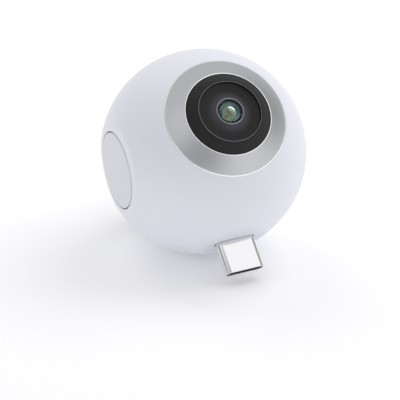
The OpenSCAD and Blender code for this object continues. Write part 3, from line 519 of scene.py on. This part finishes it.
# Rolled copper: a warm metal with a dull shine.
copper = varied("rolled_copper", dark="#B8724D", light="#C98560", grain_mm=0.4,
                roughness=(0.25, 0.4), Metallic=1.0)
coat(nodes("heat_spreader"), copper)
# Tinned steel: a pale metal, evenly dull.
tin = varied("tinned_steel_sheet", dark="#A9AAAB", light="#BCBDBE", grain_mm=0.4,
             roughness=(0.25, 0.4), Metallic=1.0)
coat(nodes("shield_can", "clock_crystal"), tin)
# Fired ceramic: brown, between matt and glossy.
ceramic = varied("capacitor_ceramic", dark="#8C6E4A", light="#A3835C", grain_mm=0.2,
                 roughness=(0.4, 0.55), IOR=1.6)
coat(nodes("board_capacitors"), ceramic)
# Moulded connector plastic: ivory and rather matt.
ivory = varied("ivory_connector_plastic", dark="#D8D0B8", light="#E4DDC8", grain_mm=0.3,
               roughness=(0.45, 0.6), IOR=1.53)
coat(nodes("flex_connectors"), ivory)
# Zinc plating on steel: a blue grey metal, dulled.
zinc = varied("zinc_plated_steel", dark="#7A7C80", light="#8E9094", grain_mm=0.2,
              roughness=(0.3, 0.45), Metallic=1.0)
coat(nodes("case_screws") + both("sensor_screws"), zinc)
# Moulded acetal: deep red and waxy.
acetal = varied("red_acetal", dark="#8A1F1B", light="#A02A25", grain_mm=0.2, roughness=(0.35, 0.5), IOR=1.48)
coat(nodes("switch_plunger"), acetal)

# Studio
# The ball lies on a white table with its front lens tipped up towards the light.
# A wide soft lamp stands above and to the right, and the white room fills the shadows.
TABLE_R, TABLE_GAP, TABLE_PAINTED_GLOW = 1500, 0.05, 0.17
table_up = Vector((0.042, -0.71, 0.704)).normalized()
eye = BALL + Vector((-139.694, -351.307, -120.394)) * MM
to_eye = (eye - BALL).normalized()
table_front = (to_eye - table_up * to_eye.dot(table_up)).normalized()
table_right = table_front.cross(table_up) * -1


def aim(thing, target):
    """Turns a lamp towards a place."""
    thing.rotation_euler = (target - thing.location).to_track_quat("-Z", "Y").to_euler()


bpy.ops.object.select_all(action="DESELECT")
bpy.ops.mesh.primitive_circle_add(vertices=96, radius=TABLE_R * MM, fill_type="NGON")
table = bpy.context.object
table.name = table.data.name = "table"
table.rotation_euler = table_up.to_track_quat("Z", "Y").to_euler()
table.location = BALL - table_up * (BALL_R + TABLE_GAP) * MM
# Matt white table top with a painted glow: an emission that lifts its shadow so the shadow stays pale
# and lights the ball's underside. It is clear from below.
matt_white = varied("matt_white_table", dark="#F0F0F2", light="#F2F2F4", grain_mm=50, roughness=(0.88, 0.92))
table_painted_glow = add_node(matt_white, "ShaderNodeEmission", {"Strength": TABLE_PAINTED_GLOW})
table_sum = add_node(matt_white, "ShaderNodeAddShader",
                     {0: matt_white.node_tree.nodes["Principled BSDF"].outputs["BSDF"],
                      1: table_painted_glow.outputs["Emission"]})
table_side = add_node(matt_white, "ShaderNodeNewGeometry")
table_clear = add_node(matt_white, "ShaderNodeBsdfTransparent")
table_pick = add_node(matt_white, "ShaderNodeMixShader",
                      {0: table_side.outputs["Backfacing"], 1: table_sum.outputs["Shader"],
                       2: table_clear.outputs["BSDF"]})
matt_white.node_tree.links.new(table_pick.outputs["Shader"],
                               matt_white.node_tree.nodes["Material Output"].inputs["Surface"])
table.data.materials.append(matt_white)

# The room is white to the eye. Gloss sees its panels and its dark gaps, each given by the
# direction of its middle, the half angles where it ends and where it is full, and its level.
ROOM_FILL, ROOM_SEEN, ROOM_GLOSS, ROOM_DARKEST = 0.58, 1.0, 0.75, 0.05
ROOM_PANELS = [((0.35, -0.885, 0.3), 30, 20, 0.45),
               ((-0.36, -0.83, -0.42), 38, 10, -0.35),
               ((0.85, -0.42, 0.3), 34, 12, -0.33),
               ((-0.13, -0.945, 0.3), 10, 4, -0.7),
               ((-0.60, -0.75, 0.28), 28, 10, 0.2),
               ((-0.93, 0.0, 0.3), 40, 15, -0.4),
               ((0.35, -0.69, -0.63), 40, 10, 0.3)]
room = bpy.data.worlds.new("white_room")
bpy.context.scene.world = room
room.use_nodes = True
room_light = room.node_tree.nodes["Background"]
room_path = add_node(room, "ShaderNodeLightPath")
room_way = add_node(room, "ShaderNodeTexCoord")
gloss_level = None
for middle, end, full, level in ROOM_PANELS:
    near = add_node(room, "ShaderNodeVectorMath",
                    {0: room_way.outputs["Generated"], 1: Vector(middle).normalized()},
                    operation="DOT_PRODUCT")
    lobe = add_node(room, "ShaderNodeMapRange",
                    {"Value": near.outputs["Value"], "From Min": cos(radians(end)),
                     "From Max": cos(radians(full)), "To Max": level}, interpolation_type="SMOOTHSTEP")
    so_far = gloss_level.outputs["Value"] if gloss_level else ROOM_GLOSS
    gloss_level = add_node(room, "ShaderNodeMath", {0: lobe.outputs["Result"], 1: so_far})
gloss_level = add_node(room, "ShaderNodeMath",
                       {0: gloss_level.outputs["Value"], 1: ROOM_DARKEST}, operation="MAXIMUM")
room_mirror = add_node(room, "ShaderNodeMath",
                       {0: room_path.outputs["Is Glossy Ray"], 1: room_path.outputs["Is Transmission Ray"]},
                       operation="MAXIMUM")
room_fill = add_node(room, "ShaderNodeMapRange",
                     {"Value": room_path.outputs["Is Camera Ray"], "To Min": ROOM_FILL, "To Max": ROOM_SEEN})
room_level = add_node(room, "ShaderNodeMix",
                      {"Factor": room_mirror.outputs["Value"], "A": room_fill.outputs["Result"],
                       "B": gloss_level.outputs["Value"]})
room.node_tree.links.new(room_level.outputs["Result"], room_light.inputs["Strength"])
room_light.inputs["Color"].default_value = to_linear("#FFFFFF")

# Each lamp is given by its way up, right and front from the ball, its width and its power, in m and W.
SOFTBOXES = [("overhead_softbox", 0.6, 0.35, -0.25, 0.5, 1.7),
             ("right_softbox", 0.3, 0.6, -0.1, 0.35, 0.45),
             ("back_softbox", 0.6, -0.3, -0.4, 0.4, 0.95),
             ("left_softbox", 0.3, -0.6, 0.3, 0.35, 0.25)]
for name, up, right, front, size, power in SOFTBOXES:
    lamp = bpy.data.lights.new(name, "AREA")
    lamp.shape = "SQUARE"
    lamp.size = size
    lamp.energy = power
    holder = bpy.data.objects.new(name, lamp)
    holder.location = BALL + table_up * up + table_right * right + table_front * front
    holder.visible_glossy = False
    bpy.context.scene.collection.objects.link(holder)
    aim(holder, BALL)

# A long lens looks down on the table at about 24 degrees.
SENSOR_W, FOCAL, NEAREST = 36, 177.07, 0.01
EYE_TURN = (1.87183764, 0.31669861, -0.27194559)
lens = bpy.data.cameras.new("eye")
lens.sensor_width = SENSOR_W
lens.lens = FOCAL
lens.clip_start = NEAREST
view = bpy.data.objects.new("eye", lens)
view.location = eye
view.rotation_euler = Euler(EYE_TURN, "XYZ")
bpy.context.scene.collection.objects.link(view)
bpy.context.scene.camera = view
